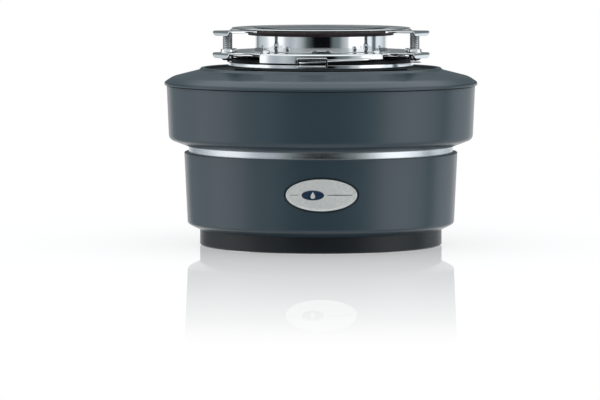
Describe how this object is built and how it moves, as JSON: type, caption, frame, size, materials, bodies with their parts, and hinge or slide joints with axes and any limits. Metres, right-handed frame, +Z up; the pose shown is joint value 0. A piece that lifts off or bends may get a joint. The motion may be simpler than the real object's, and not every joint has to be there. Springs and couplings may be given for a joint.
{
  "type": "kitchen garbage disposal",
  "caption": "Continuous-feed kitchen garbage disposal with a three-bolt sink mount, two-part sound shell, grinding chamber, motor and discharge elbow.",
  "frame": {"origin": "on the centre line of the motor shaft, in the plane of the underside of the base ring", "axes": "+Z up the shaft to the sink flange, -Y towards the front with the badge, +Y along the discharge outlet"},
  "size_m": [0.2074, 0.2513, 0.1451],
  "materials": {
    "slate_shell": "satin slate-blue paint, fine texture",
    "black_plastic": "satin black moulding",
    "brushed_band": "brushed",
    "emblem": "gloss dark blue enamel",
    "chrome": "polished",
    "stopper_steel": "polished stainless steel",
    "black_rubber": "matte",
    "fibre": "matte black fibre",
    "stainless": "satin",
    "cast_aluminium": "as cast",
    "zinc_steel": "zinc plated",
    "lamination": "stacked laminations",
    "copper": "enamelled copper wire",
    "bronze": "sintered",
    "foam": "open-cell foam",
    "red_plastic": "gloss",
    "capacitor_shell": "gloss",
    "green_screw": "green lacquer",
    "spring_steel": "oiled spring steel"
  },
  "bodies": {
    "housing": {"base_pan": "black_plastic", "wiring_cover": "zinc_steel", "cover_screws": "zinc_steel", "ground_screw": "green_screw", "overload_protector": "black_plastic", "reset_spring": "spring_steel", "lower_end_frame": "cast_aluminium", "lower_bearing": "bronze", "upper_bearing": "bronze", "motor_shell": "zinc_steel", "stator_core": "lamination", "stator_windings": "copper", "through_bolts": "zinc_steel", "start_capacitor": "capacitor_shell", "upper_end_frame": "cast_aluminium", "shaft_seal": "black_rubber", "shredder_ring": "stainless", "chamber_gasket": "black_rubber", "grind_chamber": "stainless", "chamber_screws": "zinc_steel", "dishwasher_inlet": "black_plastic", "outlet_gasket": "black_rubber", "discharge_elbow": "black_plastic", "elbow_flange": "zinc_steel", "elbow_screws": "zinc_steel", "lower_shroud": "slate_shell", "badge_plate": "brushed_band", "badge_emblem": "emblem", "lower_liner": "foam", "trim_band": "brushed_band", "upper_shroud": "slate_shell", "upper_liner": "foam", "shoulder_cap": "slate_shell", "collar_seal": "black_rubber", "mounting_gasket": "black_rubber", "splash_baffle": "black_rubber"},
    "rotor": {"motor_shaft": "spring_steel", "thrust_washer": "spring_steel", "rotor_core": "lamination", "rotor_end_rings": "cast_aluminium", "water_slinger": "black_rubber", "turntable": "stainless", "turntable_nut": "zinc_steel", "impeller_pins": "stainless"},
    "impeller_a": {"impeller_a": "stainless"},
    "impeller_b": {"impeller_b": "stainless"},
    "sink_mount": {"sink_flange": "chrome", "upper_mounting_ring": "chrome", "snap_ring": "spring_steel"},
    "clamp_ring": {"backup_ring": "chrome", "fibre_gasket": "fibre"},
    "screw_a": {"mounting_screw_a": "chrome"},
    "screw_b": {"mounting_screw_b": "chrome"},
    "screw_c": {"mounting_screw_c": "chrome"},
    "lock_ring": {"lower_mounting_ring": "chrome"},
    "stopper": {"stopper": "stopper_steel", "stopper_seal": "black_rubber"},
    "reset_button": {"reset_button": "red_plastic"}
  },
  "joints": [
    {"name": "turntable_spin", "type": "hinge", "parent": "housing", "child": "rotor", "pos_m": [0, 0, 0.07], "axis": [0, 0, 1], "continuous": true},
    {"name": "impeller_a_swing", "type": "hinge", "parent": "rotor", "child": "impeller_a", "pos_m": [0.042, 0, 0.073], "axis": [0, 0, 1], "continuous": true},
    {"name": "impeller_b_swing", "type": "hinge", "parent": "rotor", "child": "impeller_b", "pos_m": [-0.042, 0, 0.073], "axis": [0, 0, 1], "continuous": true},
    {"name": "mount_swivel", "type": "hinge", "parent": "housing", "child": "sink_mount", "pos_m": [0, 0, 0.12], "axis": [0, 0, 1], "continuous": true},
    {"name": "lock_ring_turn", "type": "hinge", "parent": "sink_mount", "child": "lock_ring", "pos_m": [0, 0, 0.119], "axis": [0, 0, 1], "range_deg": [-32, 0]},
    {"name": "clamp_slide", "type": "slide", "parent": "sink_mount", "child": "clamp_ring", "axis": [0, 0, 1], "range_m": [-0.00598, 0]},
    {"name": "screw_a_turn", "type": "hinge", "parent": "clamp_ring", "child": "screw_a", "pos_m": [0, 0.0707, 0.13], "axis": [0, 0, 1], "range_deg": [-1695, 0]},
    {"name": "screw_b_turn", "type": "hinge", "parent": "clamp_ring", "child": "screw_b", "pos_m": [-0.06123, -0.03535, 0.13], "axis": [0, 0, 1], "range_deg": [-1695, 0]},
    {"name": "screw_c_turn", "type": "hinge", "parent": "clamp_ring", "child": "screw_c", "pos_m": [0.06123, -0.03535, 0.13], "axis": [0, 0, 1], "range_deg": [-1695, 0]},
    {"name": "stopper_lift", "type": "slide", "parent": "sink_mount", "child": "stopper", "axis": [0, 0, 1], "range_m": [0, 0.04]},
    {"name": "reset_press", "type": "slide", "parent": "housing", "child": "reset_button", "axis": [0, 0, 1], "range_m": [0, 0.002], "stiffness_N_per_m": 300, "springref_m": -0.001, "deforming": ["reset_spring"]}
  ],
  "couplings": [
    {"joint": "screw_a_turn", "follows": "clamp_slide", "rad_per_m": 4947.4},
    {"joint": "screw_b_turn", "follows": "clamp_slide", "rad_per_m": 4947.4},
    {"joint": "screw_c_turn", "follows": "clamp_slide", "rad_per_m": 4947.4}
  ]
}
